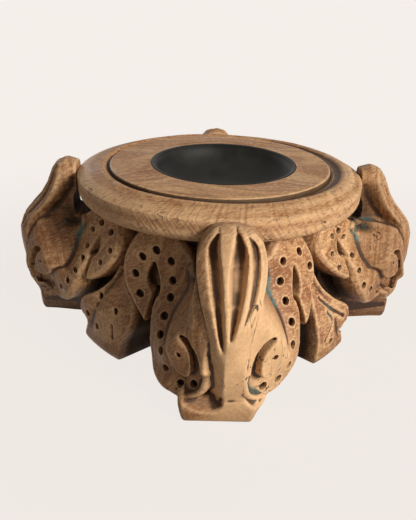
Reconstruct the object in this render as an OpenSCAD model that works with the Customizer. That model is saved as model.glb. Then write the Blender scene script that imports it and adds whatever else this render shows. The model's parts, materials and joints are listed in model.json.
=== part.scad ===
// A carved wooden base in the shape of an upturned column capital.
// Four scrolled corner blocks and four pendant leaves stand round an octagonal core. A turned ring lies
// on them, a disc is let into the ring, and a loose metal dish hangs in the disc by its flange.
// The floor is at z = 0, the axis is +Z, and the front corner points along -Y.

/* [Core] */
// Width of the octagonal core across its flats
core_width = 184; // [176:1:190]
// Height of the core and of the leaves under the ring
core_h = 143.5; // [136:0.5:150]

/* [Ring and disc] */
// Outer radius of the turned ring
ring_r = 145; // [140:1:148]
// Height of the ring from its underside to the top of the disc
ring_h = 30.5; // [27:0.5:34]
// Thickness of the ring's floor, on which the disc lies
ring_floor = 8.5; // [6:0.5:11]
// Inner radius of the ring's floor
ring_bore_r = 80; // [77:1:86]
// How far the ring's top falls from its ridge to its outer edge
ring_fall = 6; // [4:0.5:8]
// Radius of the ridge beside the disc
ridge_r = 123; // [120:1:128]
// Depth of the cove between the disc and the ridge
cove_depth = 4; // [2:0.5:6]
// How far the ridge lies off centre, towards +X
ridge_shift = 3; // [0:0.5:5]
// Radius of the inner disc
disc_r = 113; // [108:1:116]
// Gap all round between the disc and its seat in the ring
disc_gap = 0.3; // [0.1:0.1:1]

/* [Dish] */
// Outer radius of the dish's flange
dish_r = 74.5; // [68:0.5:76]
// Width of the flange
dish_flange = 4; // [3:0.5:5]
// Thickness of the dish's metal
dish_wall = 1.5; // [1:0.1:2]
// Depth of the dish below its flange
dish_depth = 27; // [20:1:29]
// Radius of the dish's flat floor
dish_floor_r = 34; // [25:1:45]
// Gap round the flange and round the bowl
dish_gap = 0.7; // [0.4:0.1:1.2]
// How far the flange stands above the disc
dish_proud = 0.5; // [0:0.1:1]
// How far the dish lies off centre, towards +X
dish_shift = 3.5; // [0:0.5:5]

/* [Corner block] */
// Radius from the axis to the top of the fluted leaf
tip_r = 158; // [156:1:162]
// How far the fluted leaf rises above the disc
tip_rise = 2; // [0:0.5:4]
// Radius from the axis to the outermost bulge of the fluted leaf
bulge_r = 211; // [207:1:216]
// Height of that bulge
bulge_z = 93; // [88:1:98]
// Radius from the axis to the front of the foot
foot_r = 196; // [193:1:200]
// Height of the foot
foot_h = 23.5; // [20:0.5:27]
// Width of the foot just above its bevel
foot_width = 66; // [60:1:72]
// Height of the bevel under each side of the front corner's foot
front_foot_bevel = 3; // [2:1:8]
// Height of the bevel under each side of the other feet
foot_bevel = 9; // [3:1:12]
// Widest part of the fluted leaf
leaf_width = 56; // [50:1:60]
// Width of the stalk below the fluted leaf
stalk_width = 20; // [16:1:26]
// How far the fluted leaf's sides lie behind its middle ridge
leaf_crown = 11; // [6:1:14]
// Gap between the back of the fluted leaf and the ring
tip_gap = 0.5; // [0.3:0.1:2]
// How far the front corner's fluted leaf leans off the middle, towards +X
front_leaf_shift = 6; // [0:1:8]
// How much lower the front corner's fluted leaf ends
front_tip_drop = 4; // [0:1:6]
// Width of the deep flutes
flute_width = 9; // [6:0.5:10]
// Depth of the deep flutes
flute_depth = 11; // [6:0.5:14]

/* [Scrolls] */
// Radius from the axis, along the corner, to the middle of each scroll's eye
eye_out = 186; // [183:1:189]
// Distance of the eye to each side of the corner's middle plane
eye_side = 38; // [35:1:41]
// Height of the eye
eye_z = 66; // [62:1:70]
// Radius of the eye
eye_r = 19.5; // [16:0.5:22]
// How much higher the eyes of the side and rear corners lie than those of the front corner
side_eye_rise = 6; // [0:0.5:7]
// Depth of the channel round the eye
channel_depth = 9; // [5:0.5:12]
// How far the boss above the eye runs back from the face
scroll_len = 46; // [40:1:50]
// Radius of the boss at its back
scroll_back_r = 46; // [40:1:48]
// Turn of the scroll's face away from the corner's direction, in degrees
scroll_turn = 30; // [26:1:34]

/* [Perforated leaves] */
// Radius of the leaves under the ring
bell_r = 132; // [129:1:135]
// Height at which the leaves start to flare
flare_z = 105; // [98:1:112]
// Outward run of the flare for each millimetre down
flare_slope = 0.46; // [0.3:0.02:0.6]
// Turn of the leaf's face away from the corner's direction, in degrees
leaf_turn = 37; // [35:1:38]
// Diameter of the drilled dots
dot_d = 8.5; // [6:0.5:9]
// Depth of the drilled dots
dot_depth = 9; // [5:0.5:12]

/* [Pendant leaves] */
// Distance from the axis to the face of a pendant leaf
pendant_out = 150; // [146:1:152]
// Height of the top of a pendant leaf's face
pendant_top = 90; // [86:1:92]
// Distance from the axis to the front of a pendant's stem
stem_out = 108; // [104:1:110]
// Width of a pendant's stem
stem_width = 72; // [66:1:74]
// How far the backs of a pendant's lobes lie in front of its stem
lobe_back = 23; // [22:1:28]
// Reach of the front left pendant towards the front corner, from its middle
front_left_near = 36; // [30:1:40]
// Reach of the front right pendant towards the front corner
front_right_near = 16; // [12:1:30]
// Reach of the rear pendants towards the rear corner
rear_near = 30; // [24:1:36]
// Reach of a pendant towards the corner on its other side
pendant_far = 49; // [44:1:50]

/* [Dowels] */
// Diameter of the dowels that hold the corner blocks
corner_dowel_d = 14; // [10:1:16]
// Diameter of the dowels that hold the pendants and the ring
small_dowel_d = 10; // [8:1:12]
// How far a horizontal dowel enters each piece
dowel_grip = 30; // [24:1:34]
// Gap round a dowel in its hole
dowel_gap = 0.05; // [0.03:0.01:0.1]

/* [Hidden] */
$fn = 96;
timber = [0.62, 0.42, 0.26];
dark_timber = [0.45, 0.29, 0.17];
iron = [0.12, 0.12, 0.12];

core_flat = core_width / 2;
core_side = core_flat * tan(22.5);
top_z = core_h + ring_h;
disc_z = core_h + ring_floor;
seat_r = disc_r + disc_gap;
tip_z = top_z + tip_rise;
tip_back = ring_r + tip_gap;
dish_z = top_z + dish_proud;
bowl_r = dish_r - dish_flange;
boss_face_r = eye_r * 1.18;
// The lean of the boss towards the perforated leaf, and the middle of its back as drawn on the face.
boss_lean = [15, -13, 0];
boss_back = [5, 19.5, -scroll_len - 13];
stem_side = stem_width / 2;
lobe_side = stem_side + 15;
piece_gap = 0.3;
edge = 4;
through = 1;

corner_turns = [-90, 0, 90, 180];
corner_dowel_z = [38, 100];
pendant_dowel_z = [26, 54];
ring_dowel_r = core_flat - 7;
ring_dowel_len = 48;

// A smooth line through the points p, with the given number of steps between neighbours.
function knot(a, b, c, d, t) =
    0.5 * (2 * b + (c - a) * t + (2 * a - 5 * b + 4 * c - d) * t * t + (3 * b - a - 3 * c + d) * t * t * t);
function smooth_line(p, steps = 3) = [
    for (i = [0 : len(p) - 2], j = [0 : steps - 1])
        knot(p[max(i - 1, 0)], p[i], p[i + 1], p[min(i + 2, len(p) - 1)], j / steps),
    p[len(p) - 1]];
function flip(p) = [for (i = [len(p) - 1 : -1 : 0]) [-p[i][0], p[i][1]]];

// Profiles of a corner block that points along +X. The first number runs outward, the second up.
front_line = [[tip_r, tip_z], [tip_r + 9, tip_z - 4], [tip_r + 15, tip_z - 12],
    [bulge_r - 31, bulge_z + 55], [bulge_r - 24, bulge_z + 44], [bulge_r - 14, bulge_z + 33],
    [bulge_r - 5, bulge_z + 22], [bulge_r, bulge_z + 8], [bulge_r + 0.5, bulge_z - 5],
    [bulge_r, bulge_z - 20], [bulge_r - 2, bulge_z - 35], [bulge_r - 4.5, bulge_z - 48]];
ankle_line = [[foot_r + 6, foot_h + 9], [foot_r + 2, foot_h + 4], [foot_r, foot_h], [foot_r, 3],
    [foot_r - 3, 0]];
web_in = tip_back + 6;
boss_top = eye_z + 52;
block_out = core_flat + (foot_r - core_flat) * 0.58;
leaf_in = core_flat / cos(22.5) + 2.4;
leaf_tall = core_h - eye_z * 0.962;

// Outline of the fluted leaf, its stalk and the foot, seen from the front.
leaf_half = [[0, tip_z], [leaf_width * 0.26, tip_z - 3], [leaf_width * 0.39, tip_z - 14],
    [leaf_width * 0.485, tip_z - 26], [leaf_width / 2, tip_z - 38], [leaf_width * 0.49, tip_z - 51],
    [leaf_width * 0.44, bulge_z + 18], [leaf_width * 0.35, bulge_z - 3], [stalk_width * 0.68, bulge_z - 23],
    [stalk_width / 2, bulge_z - 42], [stalk_width * 0.52, foot_h + 16], [stalk_width * 0.75, foot_h + 6]];

// The leaf's flared outer surface: its radius at height z.
function bell_at(z) = bell_r + flare_slope * max(flare_z - z, 0);

// A point on the face of a perforated leaf, from a drawing of the leaf that is 80 high on a bell of
// radius 132: how far across from the face's middle, and how far down from the ring.
function leaf_at(across, down) = [across * bell_r / 132, core_h - down * leaf_tall / 80];
function leaf_points(p) = [for (q = p) leaf_at(q[0], q[1])];
lobe_line = [[-6, 0], [6, 13], [11, 25], [13, 38], [11, 49], [5, 58], [-6, 68], [-15, 73], [-22, 76]];
leaf_face = leaf_points(concat([[-30, 0]], smooth_line(lobe_line, 2),
    [[-31, 79], [-58, 79], [-58, 30], [-44, 12]]));
teardrop = leaf_points(smooth_line([[-19, 29], [-17, 38], [-17.5, 47], [-21, 53], [-25.5, 50], [-27, 43],
    [-24, 35], [-19, 29]], 2));
slit = leaf_points([[-23, 50], [-26, 52], [-31, 81], [-22.5, 81]]);
leaf_dots = leaf_points([[-20, 18], [-33, 25], [-38, 41], [-39, 55], [-41, 69], [-6, 25], [-3, 41],
    [-8, 56]]);

// A scroll's face, drawn for an eye of radius 19.5: across from the eye, away from the stalk, and up.
function face_points(p) = [for (q = p) q * eye_r / 19.5];
// The ribbon that comes down from the perforated leaf and turns in under the eye, with its rim.
ribbon = face_points(smooth_line([[26, 56], [-26, 50], [-29, 12], [-30, -2], [-30, -14], [-27, -27],
    [-19.5, -37], [-9.5, -44], [4.5, -48.5], [20, -47], [35, -39], [46, -25], [51, -11], [50, 3], [47, 17],
    [45, 32], [44, 45], [42, 58], [26, 56]], 2));
// How far behind the eye the ribbon's face lies: up from the eye, and out.
ribbon_fall = face_points([[-60, -7], [-35, -9], [-12, -12.5], [-2, -18], [8, -25], [23, -35], [38, -42],
    [60, -47], [60, -80], [-60, -80]]);
rim_in = [[2.5, 17], [-6.5, 13], [-14.5, 2], [-19, -10], [-19, -22], [-16.5, -32], [-9.5, -39], [2, -42]];
rim = face_points(concat([[2, -49], [-9.5, -44], [-19.5, -37], [-27, -27], [-30, -14], [-30, -2], [-29, 17]],
    rim_in));
channel = face_points(concat(rim_in, [[16, -40], [34, -30], [40, -16], [30, -6], [19.5, -8], [15.5, -17],
    [10.5, -21.5], [0.5, -24.5], [-7.5, -18], [-10.5, -10], [-8.5, 0], [-4.5, 8]]));
// Dots on the ribbon under and beside the eye.
scroll_dots = face_points([[-9, -32], [6, -34.5], [22, -29], [33, -16], [33, 0]]);

module core_block() {
    color(dark_timber) difference() {
        rotate([0, 0, 22.5]) cylinder(h = core_h, r = core_flat / cos(22.5), $fn = 8);
        at_corners() corner_dowel_pair(dowel_gap);
        at_pendants() pendant_dowel_pair(dowel_gap);
        ring_dowel_set(dowel_gap);
    }
}

module neck_ring() {
    color(timber) difference() {
        rotate_extrude() polygon([[ring_bore_r, core_h], [ring_r - edge, core_h],
            [ring_r - 1, core_h + edge * 0.3], [ring_r, core_h + edge], [ring_r, top_z - ring_fall - edge],
            [ring_r - 1, top_z - ring_fall - 1.5],
            [ring_r - 3, top_z - ring_fall], [(ring_r + ridge_r) / 2, top_z - ring_fall * 0.35],
            [ridge_r - 6, top_z - 0.4], [ring_bore_r, top_z - 0.4]]);
        translate([0, 0, disc_z]) cylinder(h = ring_h, r = seat_r);
        translate([0, 0, top_z - cove_depth]) intersection() {
            translate([ridge_shift, 0, 0])
                cylinder(h = cove_depth, r1 = ridge_r - cove_depth * 1.8, r2 = ridge_r);
            cylinder(h = cove_depth, r = ridge_r + ridge_shift);
        }
        ring_dowel_set(dowel_gap);
    }
}

module top_disc() {
    color(timber) difference() {
        rotate_extrude() polygon([[0, disc_z], [disc_r, disc_z], [disc_r, top_z - 1], [disc_r - 1, top_z],
            [0, top_z]]);
        translate([dish_shift, 0, disc_z - through]) cylinder(h = ring_h, r = bowl_r + dish_gap);
        translate([dish_shift, 0, dish_z - dish_wall]) cylinder(h = ring_h, r = dish_r + dish_gap);
        ring_dowel_set(dowel_gap);
    }
}

module metal_dish() {
    color(iron) translate([dish_shift, 0, dish_z]) rotate_extrude() polygon(concat(
        [[dish_r, 0], [dish_r, -dish_wall], [bowl_r, -dish_wall]],
        [for (a = [10 : 10 : 90]) [dish_floor_r + (bowl_r - dish_floor_r) * cos(a),
            -dish_wall - (dish_depth - dish_wall) * sin(a)]],
        [[0, -dish_depth], [0, dish_wall - dish_depth]],
        [for (a = [90 : -10 : 0]) [dish_floor_r + (bowl_r - dish_wall - dish_floor_r) * cos(a),
            (dish_wall - dish_depth) * sin(a)]]));
}

// Places its children at each corner, or at each side between two corners.
module at_corners() { for (a = corner_turns) rotate([0, 0, a]) children(); }
module at_pendants() { for (a = corner_turns) rotate([0, 0, a + 45]) children(); }
module both_sides() { children(); mirror([0, 1, 0]) children(); }

// The solid of a side profile, with its given width centred on the corner's middle plane.
module side_solid(width) {
    rotate([90, 0, 0]) linear_extrude(width, center = true) children();
}

// The fluted leaf with its crowned face, its stalk and the web behind it.
module fluted_leaf(drop) {
    outline = concat([[0, tip_z - drop]], [for (p = smooth_line(leaf_half, 2)) if (p[0] > 0)
        [p[0], min(p[1], tip_z - drop - p[0] * 0.1)]], [[leaf_width / 2, foot_h - 2], [leaf_width / 2, 0]]);
    intersection() {
        for (k = [[1, 1], [0.78, 0.45], [0.45, 0]]) side_solid((leaf_width + 1) * k[0]) polygon(concat(
            [[tip_back, tip_z - 1]],
            [for (p = smooth_line(front_line)) [max(p[0] - leaf_crown * k[1], tip_back), p[1]]],
            ankle_line, [[core_flat + 30, 0], [core_flat + 30, boss_top - 6], [web_in, boss_top],
            [web_in, core_h - 8], [tip_back, core_h + 6]]));
        rotate([90, 0, 90]) linear_extrude(bulge_r + 10) polygon(concat(outline, flip(outline)));
    }
}

module foot(bevel) {
    intersection() {
        linear_extrude(foot_h + 2) polygon([[core_flat + 20, -foot_width * 0.67],
            [foot_r - 24, -foot_width * 0.67], [foot_r - 9, -foot_width * 0.48],
            [foot_r - 2, -foot_width * 0.36], [foot_r, -foot_width * 0.2], [foot_r, foot_width * 0.2],
            [foot_r - 2, foot_width * 0.36], [foot_r - 9, foot_width * 0.48],
            [foot_r - 24, foot_width * 0.67], [core_flat + 20, foot_width * 0.67]]);
        rotate([90, 0, 90]) linear_extrude(foot_r + 5) polygon([[-foot_width / 2 + bevel * 2, 0],
            [foot_width / 2 - bevel * 2, 0], [foot_width / 2, bevel], [foot_width * 0.67, foot_h + 2],
            [-foot_width * 0.67, foot_h + 2], [-foot_width / 2, bevel]]);
        side_solid(foot_width * 1.5) polygon([[core_flat, 0], [foot_r - 3, 0], [foot_r, 3], [foot_r, foot_h],
            [foot_r - 3, foot_h + 2], [core_flat, foot_h + 2]]);
    }
}

// Places its children on the scroll's face: their x runs across it, their y up and their z out of it.
module on_face(rise) {
    translate([eye_out, eye_side, eye_z + rise]) rotate([90, 0, 90 + scroll_turn]) children();
}

// The boss over the eye, which leans up towards the perforated leaf, the lower ribbon round it and the
// rim at its stalk side. All end level under the bell's flare.
module scroll(rise) {
    intersection() {
        on_face(rise) {
            difference() {
                translate(boss_back) rotate(boss_lean)
                    cylinder(h = scroll_len + 24, r1 = scroll_back_r, r2 = boss_face_r);
                translate([-60, -60, 0]) cube([120, 120, scroll_len]);
            }
            translate([0, 0, -scroll_len / 2]) linear_extrude(scroll_len / 2 - 1) polygon(rim);
            intersection() {
                translate([0, 0, -scroll_len - 20]) linear_extrude(scroll_len + 20) polygon(ribbon);
                translate([-80, 0, 0]) rotate([90, 0, 90]) linear_extrude(160) polygon(ribbon_fall);
            }
        }
        translate([core_flat, -eye_side, 0]) cube([bulge_r - core_flat, 4 * eye_side, boss_top]);
    }
}

module scroll_cuts(rise) {
    on_face(rise) {
        translate([0, 0, -channel_depth]) linear_extrude(channel_depth + through) polygon(channel);
        translate([0, 0, -dot_depth]) cylinder(h = dot_depth + through, d = dot_d);
        for (d = scroll_dots) translate([d[0], d[1], -dot_depth * 2 - max(d[1] + 12, 0) * 0.6])
            cylinder(h = scroll_len, d = dot_d);
    }
}

// The space of a pendant's stem on one side, where no corner block may be.
module stem_space() {
    rotate([0, 0, 45]) translate([core_flat / 2, -stem_side - piece_gap, -through])
        cube([stem_out + piece_gap - core_flat / 2, 2 * (stem_side + piece_gap), core_h + 2 * through]);
}

module perforated_leaf() {
    difference() {
        intersection() {
            rotate([90, 0, 90 + leaf_turn]) linear_extrude(bell_r * 2) polygon(leaf_face);
            rotate([0, 0, 4]) rotate_extrude(angle = 41 - piece_gap) polygon([[leaf_in, core_h],
                [bell_at(core_h), core_h], [bell_r, flare_z],
                [bell_at(core_h - leaf_tall), core_h - leaf_tall], [leaf_in, core_h - leaf_tall]]);
        }
        rotate([90, 0, 90 + leaf_turn]) translate([0, 0, bell_r - 12]) linear_extrude(bell_r) {
            polygon(teardrop);
            polygon(slit);
        }
        for (d = leaf_dots) rotate([90, 0, 90 + leaf_turn]) translate([d[0], d[1],
            bell_at(d[1]) * cos(asin(d[0] / bell_at(d[1]))) - dot_depth]) cylinder(h = bell_r / 2, d = dot_d);
    }
}

// The plain timber that joins the leaves and the scrolls to the core.
module backing(rise) {
    stem_corner = core_flat + (stem_out - core_flat) * cos(45);
    difference() {
        union() {
            translate([0, 0, rise]) linear_extrude(boss_top - 8 - rise) polygon([[core_flat, -core_side],
                [core_flat, core_side], [stem_corner, core_side + stem_corner - core_flat],
                [block_out, eye_side + 4], [block_out, -eye_side - 4],
                [stem_corner, -core_side - stem_corner + core_flat]]);
            both_sides() translate([0, 0, boss_top - 10]) linear_extrude(core_h - boss_top + 10) polygon([
                [core_flat, 10], [core_flat, core_side], [stem_corner, core_side + stem_corner - core_flat],
                [bell_r - 12, eye_side + 14], [bell_r - 10, eye_side + 4], [core_flat + 16, eye_side - 8]]);
        }
        both_sides() stem_space();
    }
}

module flutes() {
    for (f = [[-11, 1], [8.5, 1], [20, 0.5]]) translate([0, f[0], 0])
        side_solid(flute_width * (f[1] + 1) / 2) polygon(concat([[tip_r - 1, tip_z - 10]],
            [for (p = smooth_line(front_line)) if (p[1] < tip_z - 9 && p[1] > bulge_z - 24)
                [p[0] - flute_depth * f[1], p[1]]],
            [[bulge_r + 20, bulge_z - 36], [bulge_r + 20, tip_z - 10]]));
}

module corner_dowel_pair(gap = 0) {
    for (z = corner_dowel_z) translate([core_flat - dowel_grip - gap, 0, z]) rotate([0, 90, 0])
        cylinder(h = 2 * (dowel_grip + gap), d = corner_dowel_d + 2 * gap);
}

module pendant_dowel_pair(gap = 0) {
    for (z = pendant_dowel_z) translate([core_flat - dowel_grip - gap, 0, z]) rotate([0, 90, 0])
        cylinder(h = 2 * (dowel_grip + gap), d = small_dowel_d + 2 * gap);
}

module ring_dowel_set(gap = 0) {
    at_corners() translate([ring_dowel_r, 0, disc_z + 10 + gap - ring_dowel_len - 2 * gap])
        cylinder(h = ring_dowel_len + 2 * gap, d = small_dowel_d + 2 * gap);
}

// A corner block that points along +X, with its eyes raised, its fluted leaf moved aside and its tip
// lowered as given.
module corner_block(bevel, rise = 0, shift = 0, drop = 0) {
    difference() {
        union() {
            translate([0, shift, 0]) fluted_leaf(drop);
            foot(bevel);
            backing(bevel);
            both_sides() difference() {
                union() {
                    scroll(rise);
                    perforated_leaf();
                }
                stem_space();
            }
        }
        translate([0, shift, -drop]) flutes();
        both_sides() scroll_cuts(rise);
        corner_dowel_pair(dowel_gap);
    }
}

module corner_front() {
    color(timber) rotate([0, 0, -90]) corner_block(front_foot_bevel, 0, front_leaf_shift, front_tip_drop);
}
module corner_right() { color(timber) corner_block(foot_bevel, side_eye_rise); }
module corner_rear() { color(timber) rotate([0, 0, 90]) corner_block(foot_bevel, side_eye_rise); }
module corner_left() { color(timber) rotate([0, 0, 180]) corner_block(foot_bevel, side_eye_rise); }

// A pendant leaf that faces +X. It reaches to near on its -Y side and to far on its +Y side.
module pendant(near, far) {
    difference() {
        union() {
            intersection() {
                rotate([90, 0, 90]) linear_extrude(pendant_out + 10) polygon([[-near * 0.3, 0],
                    [far * 0.62, 0], [far * 0.82, 12], [far * 0.92, 26], [far, 36], [far * 0.88, 50],
                    [far * 0.62, pendant_top - 26], [far * 0.4, pendant_top - 18], [8, pendant_top - 6],
                    [0, pendant_top], [-8, pendant_top - 6], [-near * 0.8, pendant_top - 22],
                    [-near, pendant_top - 36], [-near, 22]]);
                side_solid(4 * far) polygon([[core_flat, 0], [pendant_out - 5, 0], [pendant_out - 1, 8],
                    [pendant_out, 26], [pendant_out, 48], [pendant_out - 4, 60], [pendant_out - 14, 74],
                    [pendant_out - 24, pendant_top], [core_flat, pendant_top]]);
                linear_extrude(pendant_top) polygon([[core_flat, -stem_side], [stem_out, -stem_side],
                    [stem_out + lobe_back, -stem_side - 5], [stem_out + lobe_back + 1, -lobe_side],
                    [pendant_out, -lobe_side], [pendant_out, lobe_side],
                    [stem_out + lobe_back + 1, lobe_side], [stem_out + lobe_back, stem_side + 5],
                    [stem_out, stem_side], [core_flat, stem_side]]);
            }
            translate([core_flat, -stem_side, 8]) cube([stem_out - core_flat, 2 * stem_side, core_h - 8]);
        }
        pendant_dowel_pair(dowel_gap);
    }
}

module pendant_front_left() {
    color(timber) rotate([0, 0, -135]) mirror([0, 1, 0]) pendant(front_left_near, pendant_far);
}
module pendant_front_right() { color(timber) rotate([0, 0, -45]) pendant(front_right_near, pendant_far); }
module pendant_rear_right() {
    color(timber) rotate([0, 0, 45]) mirror([0, 1, 0]) pendant(rear_near, pendant_far);
}
module pendant_rear_left() { color(timber) rotate([0, 0, 135]) pendant(rear_near, pendant_far); }

module corner_dowels() { color(dark_timber) at_corners() corner_dowel_pair(); }
module pendant_dowels() { color(dark_timber) at_pendants() pendant_dowel_pair(); }
module ring_dowels() { color(dark_timber) ring_dowel_set(); }

core_block();
neck_ring();
top_disc();
metal_dish();
corner_front();
corner_right();
corner_rear();
corner_left();
pendant_front_left();
pendant_front_right();
pendant_rear_right();
pendant_rear_left();
corner_dowels();
pendant_dowels();
ring_dowels();
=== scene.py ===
import json
import math
import bpy
import numpy as np
from mathutils import Matrix, Vector


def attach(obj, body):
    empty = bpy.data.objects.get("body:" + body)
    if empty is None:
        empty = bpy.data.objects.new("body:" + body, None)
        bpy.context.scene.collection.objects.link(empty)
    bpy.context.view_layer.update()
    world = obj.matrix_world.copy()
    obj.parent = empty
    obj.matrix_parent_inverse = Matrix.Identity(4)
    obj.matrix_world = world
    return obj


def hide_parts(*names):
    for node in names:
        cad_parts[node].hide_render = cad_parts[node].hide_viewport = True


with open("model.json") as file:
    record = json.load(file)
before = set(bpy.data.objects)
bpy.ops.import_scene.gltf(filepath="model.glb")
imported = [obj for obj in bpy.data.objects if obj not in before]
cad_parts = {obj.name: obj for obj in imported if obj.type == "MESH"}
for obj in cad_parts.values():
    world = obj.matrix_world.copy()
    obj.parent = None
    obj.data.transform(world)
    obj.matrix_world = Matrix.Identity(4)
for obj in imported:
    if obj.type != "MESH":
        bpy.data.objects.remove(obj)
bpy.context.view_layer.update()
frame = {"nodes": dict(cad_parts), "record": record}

MM = 0.001
# Grid of the reliefs, voxels of the joined pieces, and the least thickness of a relief, all in millimetres.
GRID, VOXEL, THINNEST = 0.8, 1.2, 0.4
# Top of the fluted leaves, and of what stands under the ring.
TIP_TOP, UNDER_RING = 175.9, 143.4
# A prism from INNER to OUTER reaches through the front of a corner block.
INNER, OUTER = 90, 240
# Radius of the drilled dots, of the one in each eye and of those in the pendants.
DOT, EYE_DOT, PENDANT_DOT = 4.0, 2.4, 3.6
# How far the dish lies off centre, towards +X.
DISH_SHIFT = 3.5


# Modelling helpers. A piece is shaped in millimetres and brought to metres when it is placed.

def start_clean():
    if bpy.context.object and bpy.context.object.mode != 'OBJECT':
        bpy.ops.object.mode_set(mode='OBJECT')
    bpy.ops.object.select_all(action='DESELECT')


def points_of(piece):
    at = np.empty(len(piece.data.vertices) * 3)
    piece.data.vertices.foreach_get("co", at)
    return at.reshape(-1, 3)


def move_points(piece, at):
    piece.data.vertices.foreach_set("co", np.ascontiguousarray(at, dtype=float).ravel())
    piece.data.update()


def only(piece):
    start_clean()
    piece.select_set(True)
    bpy.context.view_layer.objects.active = piece


def finish_with(piece, kind, **settings):
    """Adds one modifier with its settings and applies it."""
    only(piece)
    step = piece.modifiers.new(kind.title(), kind)
    for key, value in settings.items():
        setattr(step, key, value)
    bpy.ops.object.modifier_apply(modifier=step.name)
    return piece


def outward(piece):
    only(piece)
    bpy.ops.object.mode_set(mode='EDIT')
    bpy.ops.mesh.select_all(action='SELECT')
    bpy.ops.mesh.remove_doubles(threshold=1e-5)
    bpy.ops.mesh.normals_make_consistent(inside=False)
    bpy.ops.object.mode_set(mode='OBJECT')
    return piece


def copy_of(piece, name):
    twin = piece.copy()
    twin.data = piece.data.copy()
    twin.name = name
    bpy.context.scene.collection.objects.link(twin)
    return twin


def join(pieces, name):
    start_clean()
    for piece in pieces:
        piece.select_set(True)
    bpy.context.view_layer.objects.active = pieces[0]
    bpy.ops.object.join()
    pieces[0].name = name
    return pieces[0]


def cut(piece, cutter, way='DIFFERENCE'):
    """Cuts a piece with another one, which is used up."""
    finish_with(piece, 'BOOLEAN', object=cutter, operation=way, solver='MANIFOLD')
    bpy.data.objects.remove(cutter)
    return piece


def even_out(piece):
    return finish_with(piece, 'SMOOTH', factor=0.5, iterations=2)


def remesh(piece):
    return finish_with(piece, 'REMESH', mode='VOXEL', voxel_size=VOXEL)


def block(name, low, high, step, front, back):
    """A block on the plane of its first two coordinates. Two functions shape its front and its back."""
    start_clean()
    wide, tall = (int(round((high[k] - low[k]) / step)) for k in (0, 1))
    bpy.ops.mesh.primitive_grid_add(x_subdivisions=wide, y_subdivisions=tall, size=1)
    piece = bpy.context.object
    piece.name = name
    at = points_of(piece)
    a = low[0] + (at[:, 0] + 0.5) * (high[0] - low[0])
    b = low[1] + (at[:, 1] + 0.5) * (high[1] - low[1])
    behind = back(a, b)
    move_points(piece, np.stack([a, b, behind], 1))
    bpy.ops.object.mode_set(mode='EDIT')
    bpy.ops.mesh.select_all(action='SELECT')
    bpy.ops.mesh.extrude_region_move(TRANSFORM_OT_translate={"value": (0, 0, 1)})
    bpy.ops.object.mode_set(mode='OBJECT')
    at = points_of(piece)
    lifted = np.zeros(len(at), bool)
    lifted[len(behind):] = True
    a, b = at[lifted, 0], at[lifted, 1]
    at[lifted, 2] = np.maximum(front(a, b), back(a, b) + THINNEST)
    move_points(piece, at)
    return outward(piece)


def prism(name, outline, low, high):
    """A closed outline raised from low to high along the third coordinate."""
    start_clean()
    bpy.ops.mesh.primitive_circle_add(vertices=len(outline), fill_type='NGON')
    piece = bpy.context.object
    piece.name = name
    move_points(piece, np.array([(x, y, low) for x, y in outline]))
    bpy.ops.object.mode_set(mode='EDIT')
    bpy.ops.mesh.select_all(action='SELECT')
    bpy.ops.mesh.extrude_region_move(TRANSFORM_OT_translate={"value": (0, 0, high - low)})
    bpy.ops.object.mode_set(mode='OBJECT')
    return outward(piece)


def place(piece, matrix):
    piece.data.transform(matrix)
    if matrix.to_3x3().determinant() < 0:
        piece.data.flip_normals()
    piece.data.update()
    return piece


def smooth_line(points, steps=6, closed=False):
    """A smooth line through the points."""
    p = np.asarray(points, float)
    n = len(p)
    out = []
    for i in range(n if closed else n - 1):
        a, b, c, d = (p[(i + k) % n] if closed else p[min(max(i + k, 0), n - 1)] for k in (-1, 0, 1, 2))
        for j in range(steps):
            t = j / steps
            out.append(0.5 * (2 * b + (c - a) * t + (2 * a - 5 * b + 4 * c - d) * t * t
                              + (3 * b - a - 3 * c + d) * t ** 3))
    if not closed:
        out.append(p[-1])
    return np.array(out)


def inside(a, b, outline):
    """Distance of each point to a closed outline, positive inside it."""
    q = np.stack([a, b], 1)
    best = np.full(len(q), 1e9)
    odd = np.zeros(len(q), bool)
    for p, r in zip(outline, np.roll(outline, -1, 0)):
        e = r - p
        k = np.clip(((q - p) @ e) / max(e @ e, 1e-12), 0, 1)
        best = np.minimum(best, np.hypot(*(q - p - k[:, None] * e).T))
        if p[1] != r[1]:
            crosses = (p[1] > q[:, 1]) != (r[1] > q[:, 1])
            odd ^= crosses & (q[:, 0] < (r[0] - p[0]) * (q[:, 1] - p[1]) / (r[1] - p[1]) + p[0])
    return np.where(odd, best, -best)


def sheet_through(points, stiffness=2.0):
    """A smooth surface near the given points: a function of the first two coordinates."""
    p = np.array(points, float)
    n = len(p)

    def bend(r2):
        return np.where(r2 > 0, 0.5 * r2 * np.log(np.maximum(r2, 1e-9)), 0)
    m = np.zeros((n + 3, n + 3))
    m[:n, :n] = bend(((p[:, None, :2] - p[None, :, :2]) ** 2).sum(-1)) + stiffness * np.eye(n)
    m[:n, n] = 1
    m[:n, n + 1:] = p[:, :2]
    m[n:, :n] = m[:n, n:].T
    c = np.linalg.solve(m, np.r_[p[:, 2], 0, 0, 0])

    def surface(a, b):
        q = np.stack([a, b], 1)
        return bend(((q[:, None] - p[None, :, :2]) ** 2).sum(-1)) @ c[:n] + c[n] + q @ c[n + 1:]
    return surface


def ramp(x, low, high):
    t = np.clip((x - low) / (high - low), 0, 1)
    return t * t * (3 - 2 * t)


# The relief on one side of a corner block, drawn on the plane of the scroll's eye: across, up, and out.
EYE = (186.5, 40.0, 63.5)
TURN = math.radians(30)
FACE = Matrix(((-math.sin(TURN), 0, math.cos(TURN), EYE[0]),
               (math.cos(TURN), 0, math.sin(TURN), EYE[1]),
               (0, 1, 0, EYE[2]), (0, 0, 0, 1)))

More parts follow.
